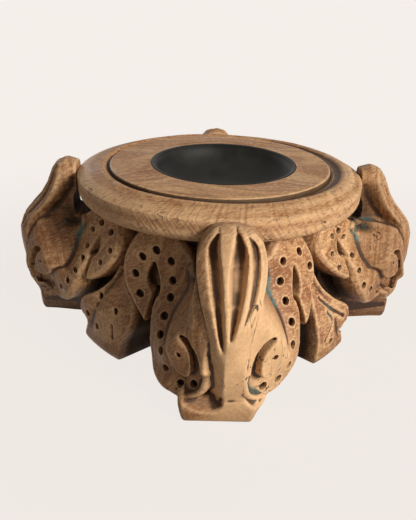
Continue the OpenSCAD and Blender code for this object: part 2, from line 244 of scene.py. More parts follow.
LEAF = sheet_through([
    (58, 60, -52), (55, 48, -48), (39, 56, -46), (37, 38.5, -42), (34, 25, -35), (37.6, 10.5, -25),
    (31.4, -2.5, -17), (21.7, -8.5, -9), (50, 21, -37), (53, 14, -34.5), (56, 2.4, -30.6), (51.5, -4, -27.7),
    (67, 54.5, -50.6), (71, 38.5, -47.5), (79.5, 65.5, -59.7), (88, 42.5, -52.5), (83, 24.5, -45.2),
    (38, 66.5, -49.7), (26, 12, -27), (25.5, -1.5, -18), (0, -30, -9), (12, -28, -8.5), (-14, -26, -9),
    (-20, -8, -9), (-19, 6, -9), (40.4, -18.5, -18), (27.7, -32.5, -12), (12.7, -41.5, -8), (20, 46, -46)])
# The boss that comes down from the top of the leaf and ends in the flat disc of the eye.
BOSS = sheet_through([
    (0, 0, 0.6), (-12, 0, 0), (12, 0, 0), (0, -16, 0), (0, 16, 0), (-12, 18, -0.5), (-8, 30, -1.5),
    (-18, 34, -2), (-16, 44, -6), (-25, 44, -6), (0, 30, -6), (6, 21, -3.5), (14, 10, -3), (17, -4, -3),
    (0, 42, -20), (8, 34, -20), (14, 24, -18), (20, 12, -15),
    (23, 0, -13), (20, -12, -9), (5, 50, -40), (12, 45, -42),
    (17, 36, -38), (22, 25, -33), (26, 12.5, -27), (26, 0, -20), (-26, 52, -14), (-9, 48, -8), (-5, 51, -15),
    (1, 53, -26), (9, 54, -38), (18, 62, -50), (22, 55, -47)], 0.6)
# The outline of one side's carving, from the top of the leaf round by the tongue and back up the lobe.
SIDE_EDGE = smooth_line([
    (48, 83), (34, 76), (26, 68), (17, 63), (8, 57), (-2, 54.5), (-10, 51), (-24, 50), (-46, 50), (-46, 16),
    (-31, 13), (-29.5, 2), (-30.5, -12), (-29, -25), (-23, -36.5), (-12, -44.5), (3, -48.5), (19, -48),
    (35, -40), (46, -25), (51, -9), (52, 3), (53, 8), (57, -5), (66, -1), (76, 11), (84, 25), (88.5, 42),
    (85, 57), (77, 70), (66, 79)], 4, closed=True)
# The teardrop and the slit that are sunk in the perforated leaf.
TEAR = smooth_line([(55.5, 50), (59, 44), (61, 36), (59.5, 28), (54, 22), (49, 22), (48, 28), (51, 39)],
                   5, closed=True)
SLIT = np.array([(50, 25), (54.5, 24), (57, 12), (58.5, 0), (58, -9), (52, -9), (52.5, 2), (52, 12)], float)
# The flat disc of the eye, and the channel sunk between it and its rim.
DISC = smooth_line([(2, 15.5), (-5, 8.5), (-9.5, 2), (-12, -7), (-12, -15.5), (-6.5, -21.5), (3, -22),
                    (11, -17), (17, -8), (20, 4), (16, 18), (9, 23)], 4, closed=True)
CHANNEL = smooth_line([
    (2, 15.5), (-5, 8.5), (-9.5, 2), (-12, -7), (-12, -15.5), (-6.5, -21.5), (3, -22), (11, -17), (17, -8),
    (24, -5), (36, -14), (31, -28), (15, -38), (0, -41), (-10, -39), (-18, -32.5), (-22, -22), (-22.5, -9),
    (-18.5, 3), (-11, 12.5), (-3, 17)], 5, closed=True)


def relief(u, w):
    """The front of the carving: the perforated leaf, with the boss, its eye and the rim standing over it."""
    leaf = LEAF(u, w)
    edge = inside(u, w, SIDE_EDGE)
    leaf = leaf - 14 * ramp(inside(u, w, TEAR), -0.7, 1.6) - 14 * ramp(inside(u, w, SLIT), -0.6, 1.2)
    boss = BOSS(u, w) - 22 * ramp(-u, 27, 40)
    rim = -1.2 - 7 * ramp(u, -14, 16) - 14 * ramp(u, 12, 26)
    boss = boss + (rim - boss) * ramp(-w, 8, 14) * ramp(inside(u, w, DISC), 1.5, -1.5)
    boss = boss - 60 * ramp(inside(u, w, CHANNEL), -0.8, 1.6)
    shape = np.maximum(leaf, boss)
    return shape - 5 * (1 - ramp(edge, -1.0, 4.5)) ** 2


def undercut(u, w):
    """The back of the carving: the leaf is 24 mm thick at its edge and deeper further in."""
    return np.maximum(relief(u, w) - 24 - 1.6 * np.maximum(inside(u, w, SIDE_EDGE), 0), -86.0)


def half_corner(name):
    piece = block(name, (-46, -50), (92, 84), GRID, relief, undercut)
    cut(piece, prism("edge", SIDE_EDGE, -90, 40), 'INTERSECT')
    return place(piece, FACE)


# The fluted leaf and its stalk, drawn seen from the front: across, up, and out.
RIDGE = np.array([(0, 196), (23.5, 196), (27.5, 198), (32.5, 201), (45, 206), (58, 209),
                  (73, 211), (88, 211.5), (101, 211), (115, 206), (126, 197), (137, 187), (148, 180), (164, 173),
                  (172, 167), (176, 158)])
LEFT_WIDE = np.array([(0, 9.5), (40, 9.5), (50, 10), (60, 11), (70, 12), (88, 14), (105, 18.5), (120, 23),
                      (134, 26), (148, 25.5), (158, 23), (165, 20), (171, 15.5), (174, 11), (176, 3)])
RIGHT_WIDE = np.array([(0, 17), (40, 16.5), (50, 16), (60, 16.5), (70, 17.5), (88, 19.5), (105, 23), (120, 28),
                       (134, 31), (148, 30.5), (158, 28.5), (165, 25.5), (171, 20.5), (174, 15), (176, 5)])
# Each flute: heights, where its middle runs, half its width, and its depth.
FLUTES = [([78, 88, 110, 134.5, 158, 173], [-3.3, -4.6, -7.4, -10.6, -12.4, -8.5],
           [0, 2.2, 4, 5.6, 4.8, 1], 11),
          ([87, 98, 110, 134.5, 158, 175], [1.5, 3, 4.7, 7, 8.4, 6], [0, 2.2, 4, 7.2, 5.8, 1.2], 13),
          ([96, 112, 134.5, 158, 171], [8.5, 16, 21.2, 20.2, 15], [0, 2.2, 3.6, 3.4, 0.8], 6)]


def read(z, table):
    """The second column of a table at z, which runs along its first column."""
    return np.interp(z, table[:, 0], table[:, 1])


def tongue(t, z):
    ridge, left, right = (read(z, table) for table in (RIDGE, LEFT_WIDE, RIGHT_WIDE))
    half, middle = (left + right) / 2, (right - left) / 2 * ramp(z, 60, 100)
    crown = np.interp(z, [0, 30, 45, 80, 130, 160, 176], [4, 5, 7, 10, 13, 11, 3])
    out = ridge - crown * np.abs((t - middle) / np.maximum(half, 1)) ** 2.2
    # Below the flutes the leaf draws in to a stalk with an arris left of its middle.
    arris = ridge - 0.25 * np.maximum(t + 1.3, 0) - 1.1 * np.maximum(-1.3 - t, 0)
    out = out + (arris - out) * (1 - ramp(z, 58, 84))
    for heights, middles, halves, deep in FLUTES:
        line = smooth_line(np.stack([heights, middles, halves], 1), 6)
        middle, wide = read(z, line), np.maximum(read(z, line[:, (0, 2)]), 0)
        x = np.abs(t - middle) / np.maximum(wide, 0.01)
        out = out - deep * (wide / max(halves)) ** 0.7 * np.clip(1 - x ** 3, 0, 1)
    return out - 7 * ramp(-z, -38, -14)


def tongue_back(t, z):
    heights, outs = [112, 116, 119, 122, 130, 141, 145], [104, 118, 135, 149, 150, 148.5, 146.2]
    return np.interp(z, heights, outs) + 0 * t


# Turns a drawing of across, up and out to the block's own directions.
OUT_OF_FRONT = Matrix(((0, 0, 1, 0), (1, 0, 0, 0), (0, 1, 0, 0), (0, 0, 0, 1)))


def fluted_leaf(name):
    piece = block(name, (-27, 14), (32, TIP_TOP), GRID, tongue, tongue_back)
    left, right = ([(w, z) for z, w in smooth_line(edge, 3)] for edge in (LEFT_WIDE, RIGHT_WIDE))
    cut(piece, prism("edge", right + [(-w, z) for w, z in left[::-1]], INNER, OUTER), 'INTERSECT')
    return place(piece, OUT_OF_FRONT)


# The front of the foot runs up into the stalk; beside it the timber is scooped out.
FOOT_FRONT = smooth_line([
    (-52, 15), (-44, 18), (-38, 19.5), (-33.5, 19.5), (-24.3, 14), (-16, 11.2), (-9.7, 10.4), (-4, 10.6),
    (-0.4, 12), (2.6, 15), (3.5, 18.5), (2.4, 23), (0.6, 28), (-0.8, 35), (-1.3, 45), (-1.3, 64), (18.5, 64),
    (17.8, 41), (16.8, 34), (18, 29), (21.5, 23.6), (24.5, 19.5), (28, 16.8), (35, 15.5), (41, 18),
    (46, 18.5), (52, 15), (52, -8), (-52, -8)], 3, closed=True)
FOOT_EDGE = [(-30, -1), (-31, 3), (-33, 10.5), (-38, 23), (-41, 30), (-44, 37), (-45, 60), (45, 60), (45, 35),
             (44, 27), (42, 20), (36.5, 12), (33.5, 7), (31.5, 3), (30, -1)]


def foot_face(t, z):
    away = np.maximum(-inside(t, z, FOOT_FRONT), 0)
    deep = np.minimum(13 + 1.3 * np.maximum(z - 20, 0), 42)
    out = read(z, RIDGE) - deep * (1 - np.exp(-away / 5.5))
    out = out - 0.25 * np.maximum(t + 1.3, 0) * ramp(z, 20, 34) - 4 * ramp(z, 44, 56)
    return out - 1.2 * np.maximum(np.abs(t) - 28 - 0.25 * z, 0) - 0.5 * np.maximum(3 - z, 0)


def foot(name):
    piece = block(name, (-46, 0.3), (46, 56), GRID, foot_face, lambda t, z: np.full(len(t), 112.0))
    cut(piece, prism("edge", FOOT_EDGE, INNER, OUTER), 'INTERSECT')
    return place(piece, OUT_OF_FRONT)


# What a corner block may fill, seen from above.
CORNER_PLAN = [(92.2, -37.8), (92.2, 37.8), (102.2, 51.0), (78.0, 75.4), (108.5, 106), (152, 100), (215, 60),
               (215, -60), (152, -100), (108.5, -106), (78.0, -75.4), (102.2, -51.0)]


def corner_blank():
    """A whole corner block that points along +X, before its dots and its own unevenness."""
    right = half_corner("carving")
    left = copy_of(right, "carving left")
    place(left, Matrix.Diagonal((1, -1, 1, 1)))
    heart = prism("heart", [(93, -40), (93, 40), (104, 50), (128, 46), (150, 26), (150, -26), (128, -46),
                            (104, -50)], 3, 92)
    web = prism("web", [(110, -14), (110, 14), (160, 11), (160, -11)], 60, 116)
    bell = prism("bell", [(118 * math.cos(a), 118 * math.sin(a)) for a in np.radians(np.linspace(-38, 38, 20))]
                 + [(80, 60), (80, -60)], 60, UNDER_RING)
    blank = join([right, left, fluted_leaf("leaf"), foot("foot"), heart, web, bell], "corner")
    remesh(blank)
    cut(blank, prism("plan", CORNER_PLAN, 0.2, TIP_TOP), 'INTERSECT')
    return even_out(blank)


def drill(piece, places, depth, radius=DOT):
    """Bores blind holes: each place is a point on the surface and the way out of it."""
    drills = []
    for point, way in places:
        start_clean()
        bpy.ops.mesh.primitive_cylinder_add(vertices=20, radius=radius, depth=depth * 2)
        hole = bpy.context.object
        aim = Vector(way).to_track_quat('Z', 'Y').to_matrix().to_4x4()
        hole.data.transform(Matrix.Translation(point) @ aim)
        drills.append(hole)
    return cut(piece, join(drills, "drills"))


def surface_dots(spots, side):
    """Where dots that are drawn on the eye's plane lie on the relief, and the way out of it there."""
    found = []
    for u, w in spots:
        u, w = np.array([float(u)]), np.array([float(w)])
        d = float(relief(u, w)[0])
        across, upward = (LEAF(u + 1, w) - LEAF(u - 1, w))[0], (LEAF(u, w + 1) - LEAF(u, w - 1))[0]
        lean = Vector((-float(across) / 2, -float(upward) / 2, 1.6))
        point = FACE @ Vector((float(u[0]), float(w[0]), d))
        way = FACE.to_3x3() @ lean
        point.y, way.y = point.y * side, way.y * side
        found.append((point, way))
    return found


def soften(at, ends, share, times):
    """Draws each point towards the mean of its neighbours."""
    a, b = ends[0::2], ends[1::2]
    for _ in range(times):
        mean = np.stack([np.bincount(a, at[b, k], len(at)) + np.bincount(b, at[a, k], len(at))
                         for k in range(3)], 1)
        at = 0.4 * at + 0.6 * mean / share[:, None]
    return at


def mark_depths(piece, behind=0.0, fluted=0.0):
    """Marks how deep each point lies in a hollow or behind the carving, and less so in the flutes; the materials
    paint shade from these marks.
    """
    at = points_of(piece)
    ends = np.empty(len(piece.data.edges) * 2, np.int32)
    piece.data.edges.foreach_get("vertices", ends)
    share = np.maximum(np.bincount(ends, minlength=len(at)), 1)
    normal = np.empty(len(at) * 3)
    piece.data.vertices.foreach_get("normal", normal)
    normal = normal.reshape(-1, 3)
    near = soften(at, ends, share, 8)
    far = soften(near, ends, share, 60)
    for name, value in (("crease", ((near - at) * normal).sum(1) / 0.35),
                        ("hollow", ((far - at) * normal).sum(1) / 2.5), ("soot", behind + np.zeros(len(at)))):
        mark = piece.data.attributes.new(name, 'FLOAT', 'POINT')
        calm = 1 if name == "soot" else 1 - 0.5 * fluted * (value > 0)
        mark.data.foreach_set("value", (np.clip(value, -1, 1) * calm).astype(np.float32))
    return piece


def finish(piece, node, body="base"):
    """Brings a finished piece to metres and puts it in the frame in place of its solid."""
    only(piece)
    bpy.ops.object.shade_smooth_by_angle(angle=math.radians(38))
    place(piece, Matrix.Scale(MM, 4))
    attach(piece, body)
    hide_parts(node)
    next(s["material_slot"] for s in frame["record"]["subparts"] if s["node"] == node)
    return piece


def side_swing(at, rises=((12.5, 7), (12.5, 7))):
    """The side corners' scrolls sit higher and turn further round. Their feet and necks are narrower.

    rises says, for each half, how far the eye goes up and how far what is under it does.
    """
    r, t, z = at.T.copy()
    apart, way = np.abs(t), np.sign(t)
    rise, under = (np.where(t > 0, rises[1][k], rises[0][k]) for k in (0, 1))
    u = (apart - EYE[1]) * math.cos(TURN) - (r - EYE[0]) * math.sin(TURN)
    near = (1 - ramp(np.hypot(u, z - EYE[2]), 20, 50)) * ramp(apart, 8, 24)
    neck = ramp(read(z, RIDGE) - r, 10, 30) * ramp(z, 104, 128) * (1 - ramp(z, 158, 174)) * (r > 140)
    foot = (1 - ramp(z, -4, 16)) * (0.35 + 0.25 * ramp(r, 150, 190))
    tip = ramp(z, 140, 176) * (r > 140)
    low = np.interp(z, [3, 15, 30, EYE[2]], [0, 1, 1, 0]) * under
    low = low + np.interp(z, [3, 15, EYE[2], 125], [0, 1, 1, 0]) * rise
    low = low * ramp(apart, 14, 30)
    z = z + low - 0.3 * np.maximum(157 - r, 0) * tip
    a, dr, dt = math.radians(14) * near, r - EYE[0], apart - EYE[1]
    r = np.minimum(EYE[0] - 2.5 * near + dr * np.cos(a) - dt * np.sin(a), 211.3)
    r = r - 0.35 * np.clip(apart - 8, 0, 24) * (1 - ramp(z - low, 12, 44)) * ramp(r, 140, 170)
    apart = (EYE[1] + dr * np.sin(a) + dt * np.cos(a)) * (1 - 0.3 * tip) * (1 - 0.4 * neck) * (1 - foot)
    return np.stack([r, way * apart, z], 1)


def right_swing(at):
    return side_swing(at, ((21.5, 3), (12.5, 7)))


def rear_swing(at):
    """The rear corner is as the side corners are, with its fluted leaf ending a little lower."""
    at = side_swing(at)
    at[:, 2] -= 2.5 * ramp(at[:, 2], 140, 176) * (at[:, 0] > 140)
    return at


def front_swing(at):
    """The front corner's carving lies to one side above its foot, and its fluted leaf ends lower."""
    r, t, z = at.T.copy()
    t = t + (5 + 3 * ramp(-t, 27, 36)) * ramp(r, 100, 128) * ramp(z, 8, 40)
    z = z - 9 * ramp(z, 130, 176) * (r > 140)
    return np.stack([r, t, z], 1)


def corner(blank, node, turn, swing, left, right):
    """One corner block in its place; left and right name the dots of its two halves."""
    piece = copy_of(blank, node.replace("corner", "carved_corner"))
    if swing != front_swing:
        for way in (1, -1):
            for low, line in ((122, [(17, -2), (17, 3), (24, 11), (31, 14.8), (70, 14.8), (70, -2)]),
                              (193.5, [(17.5, -2), (17.5, 3), (24, 11), (26, 24), (70, 24), (70, -2)])):
                side = prism("side", [(way * t, z) for t, z in line], low, 240)
                cut(piece, place(side, OUT_OF_FRONT))
    drill(piece, surface_dots(DOTS[right], 1) + surface_dots(DOTS[left], -1), 7)
    drill(piece, surface_dots([(2, -1)], 1) + surface_dots([(2, -1)], -1), 4, EYE_DOT)
    at = points_of(piece)
    u, w, d = ((at * (1, 0, 1) + np.abs(at) * (0, 1, 0) - EYE) @ np.array(FACE.to_3x3())).T
    r, t, z = at.T
    apart = np.abs(t)
    # How far each point lies behind the carving, and the recess behind the fluted leaf: the material paints
    # these dark as painted shade, together with the black stain there.
    covered = np.maximum(ramp(apart, 24, 36), ramp(-r, -152, -146))
    behind = ramp(LEAF(u, w) - d, 5, 24) * covered * ramp(z, 6, 24)
    neck = ramp(-r, -170, -152) * ramp(z, 94, 108) * (1 - ramp(z, 150, 166)) * (1 - ramp(apart, 26, 36))
    behind = np.maximum(behind, 0.8 * neck * (r > 120))
    move_points(piece, swing(at))
    mark_depths(piece, behind, (apart < 30) * ramp(r, 160, 175) * ramp(z, 70, 85))
    place(piece, Matrix.Rotation(math.radians(turn), 4, 'Z'))
    return finish(piece, node)


# The drilled dots of each half, a little different as by hand: on the band, under the eye and on the lobe.
DOTS = {
    "front left": [(54.5, 60.8), (39.8, 55.9), (35.7, 39.8), (33.8, 26.6), (34, 12.5), (32.7, -1.8),
                   (27, -12.4), (20.7, -27.4), (2.2, -36), (-12.5, -31), (66.7, 52), (72.4, 35), (67, 18.5)],
    "front right": [(66.5, 60.2), (39.2, 59), (34.6, 41.9), (36.5, 25.5), (36.9, 9.6), (32.9, -7.6),
                    (26.2, -24), (16, -34), (0.2, -36), (79.5, 44), (80, 24)],
    "left near": [(53.5, 63.9), (43.7, 52.7), (42.3, 31.7), (45, 17.7), (44, 1.6), (37.4, -15.2), (26.2, -28.5),
                  (3, -35.5), (71.7, 59.7), (79, 40.8), (70.5, 22.6)],
    "right near": [(63.5, 59), (51, 61.1), (45.8, 50.6), (43.5, 22.5), (45, 1.6), (41.5, -17.3), (29, -27.1),
                   (8, -33.4), (-17.5, -12), (-19, 1), (72.5, 37.3), (69, 15.6)],
    "rear": [(53, 60.5), (39, 56), (35, 40), (34.5, 26), (34.5, 11), (31.5, -5), (26.5, -17), (17, -30),
             (1, -36), (-13, -31), (66, 52), (73, 35), (67, 19)]}
blank = corner_blank()
corners = [corner(blank, "corner_front", -90, front_swing, "front left", "front right"),
           corner(blank, "corner_right", 0, right_swing, "right near", "rear"),
           corner(blank, "corner_rear", 90, rear_swing, "rear", "rear"),
           corner(blank, "corner_left", 180, side_swing, "rear", "left near")]
bpy.data.objects.remove(blank)


# The pendant leaves, drawn on their face: across, up, and out from the base's axis.
# How far out their face lies at each height.
PENDANT_LINE = np.array([(0, 145), (8, 149), (26, 150), (48, 150), (60, 146), (74, 136), (90, 126), (100, 120)])
PENDANT_PLAN = [(92.2, -36), (108, -36), (131, -41), (132, -51), (152, -51), (152, 51), (132, 51), (131, 41),
                (108, 36), (92.2, 36)]


def pendant(node, turn, side, near, holes, lines, shift=0):
    """A leaf with its tip on the floor.

    near is how far its rounded side reaches, and shift how far it sits off the middle.
    """
    k = near / 36
    edge = (shift, 0) + smooth_line([
        (-10 * k, -4), (42, -4), (43, 8), (38, 20), (36, 28), (44, 30), (50, 36), (47, 46), (40, 54), (24, 64),
        (12, 78), (6, 96), (-6, 96), (-10, 82), (-29 * k, 70), (-36 * k, 58), (-34 * k, 44), (-24 * k, 26)],
        4, closed=True)

    def face(s, z):
        s = s - shift
        out = read(z, PENDANT_LINE) - 0.0025 * (s - 6) ** 2
        out = out - 2.5 * np.exp(-((s - 20 + 0.4 * (z - 40)) / 6) ** 2) * ramp(z, 10, 30)
        for line in lines:
            spot = np.full(len(s), 1e9)
            line = smooth_line(line, 5)
            for p, q in zip(line[:-1], line[1:]):
                e = q - p
                t = np.clip(((s - p[0]) * e[0] + (z - p[1]) * e[1]) / (e @ e), 0, 1)
                spot = np.minimum(spot, np.hypot(s - p[0] - t * e[0], z - p[1] - t * e[1]))
            out = out - 3.2 * np.clip(1 - (spot / 2.2) ** 2, 0, 1)
        return 100 + (out - 100) * ramp(inside(s + shift, z, edge), -0.6, 1.6)
    leaf = block("leaf", (-40, 0.2), (54, 92), GRID, face, lambda s, z: np.full(len(s), 92.3))
    place(leaf, OUT_OF_FRONT)
    stem = prism("stem", [(92.3, -35.9), (92.3, 35.9), (107.8, 35.9), (107.8, -35.9)], 8, UNDER_RING)
    piece = join([leaf, stem], node.replace("pendant", "pendant_leaf"))
    remesh(piece)
    even_out(piece)
    cut(piece, prism("plan", PENDANT_PLAN, 0.1, 143.45), 'INTERSECT')
    spots = [Vector((float(read(z, PENDANT_LINE)), s + shift, z)) for s, z in holes]
    drill(piece, [(spot, (1, 0, 0)) for spot in spots], 7, PENDANT_DOT)
    at = points_of(piece)
    # How far each point lies behind the leaf's face: the material paints this dark as painted shade, together
    # with the black stain there.
    behind = ramp(read(at[:, 2], PENDANT_LINE) - at[:, 0], 4, 16)
    if side < 0:
        place(piece, Matrix.Diagonal((1, -1, 1, 1)))
    mark_depths(piece, behind)
    place(piece, Matrix.Rotation(math.radians(turn), 4, 'Z'))
    return finish(piece, node)


LEFT_HOLES, LEFT_LINES = [(14.5, 61), (31, 37), (-13, 57), (14, 30)], [[(-10, 41), (-10, 27)]]
RIGHT_HOLES = [(33, 25), (12, 22)]
RIGHT_LINES = [[(0.6, 70), (14, 56), (35, 41)], [(5, 56), (13, 44), (2.6, 27)]]
pendants = [pendant("pendant_front_left", -135, -1, 36, LEFT_HOLES, LEFT_LINES, 4),
            pendant("pendant_front_right", -45, 1, 16, RIGHT_HOLES, RIGHT_LINES),
            pendant("pendant_rear_right", 45, -1, 30, LEFT_HOLES, RIGHT_LINES[:1]),
            pendant("pendant_rear_left", 135, 1, 30, RIGHT_HOLES, RIGHT_LINES)]


def turned(name, profile, steps=240):
    """A closed profile of radius and height, spun round the axis."""
    start_clean()
    bpy.ops.mesh.primitive_circle_add(vertices=len(profile), fill_type='NOTHING')
    piece = bpy.context.object
    piece.name = name
    move_points(piece, np.array([(r, 0, z) for r, z in profile]))
    bpy.ops.object.mode_set(mode='EDIT')
    bpy.ops.mesh.select_all(action='SELECT')
    bpy.ops.mesh.spin(steps=steps, angle=math.tau, center=(0, 0, 0), axis=(0, 0, 1))
    bpy.ops.object.mode_set(mode='OBJECT')
    return outward(piece)


def rounded(points, radius=0.8, steps=3):
    """A closed outline with its corners rounded; a point may give its own radius."""
    out = []
    p = [np.array(q[:2], float) for q in points]
    for i, here in enumerate(p):
        own = points[i][2] if len(points[i]) > 2 else radius
        before, after = p[i - 1] - here, p[(i + 1) % len(p)] - here
        reach = min(own, np.hypot(*before) * 0.45, np.hypot(*after) * 0.45)
        a, b = here + before / np.hypot(*before) * reach, here + after / np.hypot(*after) * reach
        for j in range(steps + 1):
            t = j / steps
            out.append((1 - t) ** 2 * a + 2 * t * (1 - t) * here + t * t * b)
    return out


def denser(points, gap):
    """Adds points along a closed outline, about a gap apart."""
    out = []
    for p, q in zip(points, points[1:] + points[:1]):
        n = max(1, int(np.hypot(*(q - p)) / gap))
        out += [p + (q - p) * j / n for j in range(n)]
    return out


RING = [(80, 143.7), (140.5, 143.7, 3), (144.6, 149, 4), (144.9, 165.6, 1.6), (134, 170.6, 6),
        (124.5, 173.6, 1.2), (121.5, 173.2, 1.2),
        (117.5, 170, 3), (113.4, 169.8, 0.4), (113.4, 152.2, 0.3), (80, 152.2)]
ring = turned("turned_ring", denser(rounded(RING, 1), 2.0))
at = points_of(ring)
turn = np.arctan2(at[:, 1], at[:, 0])
wave = np.sin(3 * turn + 1) * 0.25 + np.sin(7 * turn + 2) * 0.15 + np.sin(17 * turn) * 0.08
at[:, 2] += np.where(at[:, 2] > 165, wave - 0.25, 0)
# The ridge beside the disc lies off centre.
radius = np.hypot(at[:, 0], at[:, 1])
at[:, 0] += 3 * ramp(radius, 114, 118) * (1 - ramp(radius, 130, 140)) * (at[:, 2] > 165)
move_points(ring, at)
mark_depths(ring)
finish(ring, "neck_ring")

DISC_EDGE = [(40, 152.1), (112.9, 152.1), (112.9, 172.5, 2), (111.6, 173.9, 2), (40, 173.9)]
disc = turned("round_top", denser(rounded(DISC_EDGE, 0.5), 1.5))
for radius, low in ((71.2, 150), (75.2, 172.95)):
    bore = prism("bore", [(DISH_SHIFT + radius * math.cos(a), radius * math.sin(a))
                          for a in np.linspace(0, math.tau, 128, endpoint=False)], low, 180)
    cut(disc, bore)
mark_depths(disc)
finish(disc, "top_disc")



def bowl_line(wide, top, angles):
    """Half a bowl's section: its radius and height at each angle, from a flat floor of radius 34."""
    return [(34 + wide * math.cos(math.radians(a)), top - 25.5 * math.sin(math.radians(a))) for a in angles]


bowl, cup = bowl_line(36.5, 173, range(4, 91, 6)), bowl_line(35, 174.5, range(90, 8, -6))
RIM = [(74.4, 173.2), (74.4, 174.2), (74.0, 174.5), (73.3, 174.4), (71.3, 173.6)]
DISH = RIM + cup[::-1] + [(0.01, 149), (0.01, 147.5)] + bowl[::-1] + [(70.6, 173.0), (74.0, 173.0)]
dish = turned("iron_dish", denser([np.array(q) for q in DISH], 3.0))
place(dish, Matrix.Translation((DISH_SHIFT, 0, 0)))
mark_depths(dish)
finish(dish, "metal_dish", "dish")


class Wire:
    """A socket that takes part in Python arithmetic: each step adds its Math node."""

    def __init__(self, finish, socket):
        self.finish, self.socket = finish, socket

    def step(self, operation, *values):
        return self.finish.node("Math", {"operation": operation}, *values)

    def __add__(self, other):
        return self.step('ADD', self, other)

    def __sub__(self, other):
        return self.step('SUBTRACT', self, other)

    def __rsub__(self, other):
        return self.step('SUBTRACT', other, self)

    def __mul__(self, other):
        return self.step('MULTIPLY', self, other)

    def __truediv__(self, other):
        return self.step('DIVIDE', self, other)

    __radd__, __rmul__ = __add__, __mul__


class Finish:
    """A material whose nodes are made from Python expressions."""

    def __init__(self, name, **constants):
        self.material = bpy.data.materials.new(name)
        self.material.use_nodes = True
        self.tree = self.material.node_tree
        self.shader = self.tree.nodes["Principled BSDF"]
        for key, value in constants.items():
            self.shader.inputs[key.replace("_", " ")].default_value = value
        self.place = self.node("TexCoord", output="Object")

    def node(self, kind, settings=None, *values, output=0, **named):
        made = self.tree.nodes.new("ShaderNode" + kind)
        for key, value in (settings or {}).items():
            if key == "stops":
                ramp_of = made.color_ramp.elements
                while len(ramp_of) < len(value):
                    ramp_of.new(0.5)
                for stop, (where, colour) in zip(ramp_of, value):
                    stop.position, stop.color = where, colour
            else:
                setattr(made, key, value)
        for key, value in list(enumerate(values)) + list(named.items()):
            socket = made.inputs[key if isinstance(key, int) else key.replace("_", " ")]
            if isinstance(value, Wire):
                self.tree.links.new(value.socket, socket)
            else:
                socket.default_value = value
        return Wire(self, made.outputs[output])

    def noise(self, place, scale, detail=3, rough=0.5, stretch=(1, 1, 1)):
        spot = self.node("Mapping", None, Vector=place, Scale=stretch)
        return self.node("TexNoise", None, Vector=spot, Scale=scale, Detail=detail, Roughness=rough)

    def between(self, value, low, high, start=0.0, end=1.0):
        return self.node("MapRange", {"interpolation_type": 'SMOOTHSTEP'}, value, low, high, start, end)

    def blend(self, share, first, second, way='MIX'):
        made = self.tree.nodes.new("ShaderNodeMix")
        made.data_type, made.blend_type = 'RGBA', way
        for socket, value in ((made.inputs[0], share), (made.inputs[6], first), (made.inputs[7], second)):
            if isinstance(value, Wire):
                self.tree.links.new(value.socket, socket)
            else:
                socket.default_value = value
        return Wire(self, made.outputs[2])

    def mark(self, name):
        return self.node("Attribute", {"attribute_name": name}, output="Fac")

    def feed(self, **sockets):
        for key, value in sockets.items():
            self.tree.links.new(value.socket, self.shader.inputs[key.replace("_", " ")])

    def bump(self, height, distance, strength=1.0, under=None):
        more = {"Normal": under} if under else {}
        return self.node("Bump", None, Height=height, Distance=distance, Strength=strength, **more)


LIGHT, TAN, BROWN = (0.65, 0.37, 0.170, 1), (0.44, 0.212, 0.090, 1), (0.15, 0.058, 0.020, 1)
RED, CREASE_SHADE_AND_DIRT, DARK = (0.30, 0.115, 0.055, 1), (0.040, 0.018, 0.009, 1), (0.018, 0.009, 0.005, 1)
TEAL, PALEST = (0.10, 0.20, 0.175, 1), (0.80, 0.51, 0.27, 1)
# Where old paint is left in the hollows, and how far it reaches.
PAINT = [((0.145, -0.036, 0.112), 0.035), ((0.043, -0.178, 0.036), 0.026), ((0.05, -0.134, 0.104), 0.03),
         ((-0.145, -0.036, 0.112), 0.03), ((-0.1, -0.1, 0.006), 0.02), ((0.105, -0.1, 0.05), 0.02)]


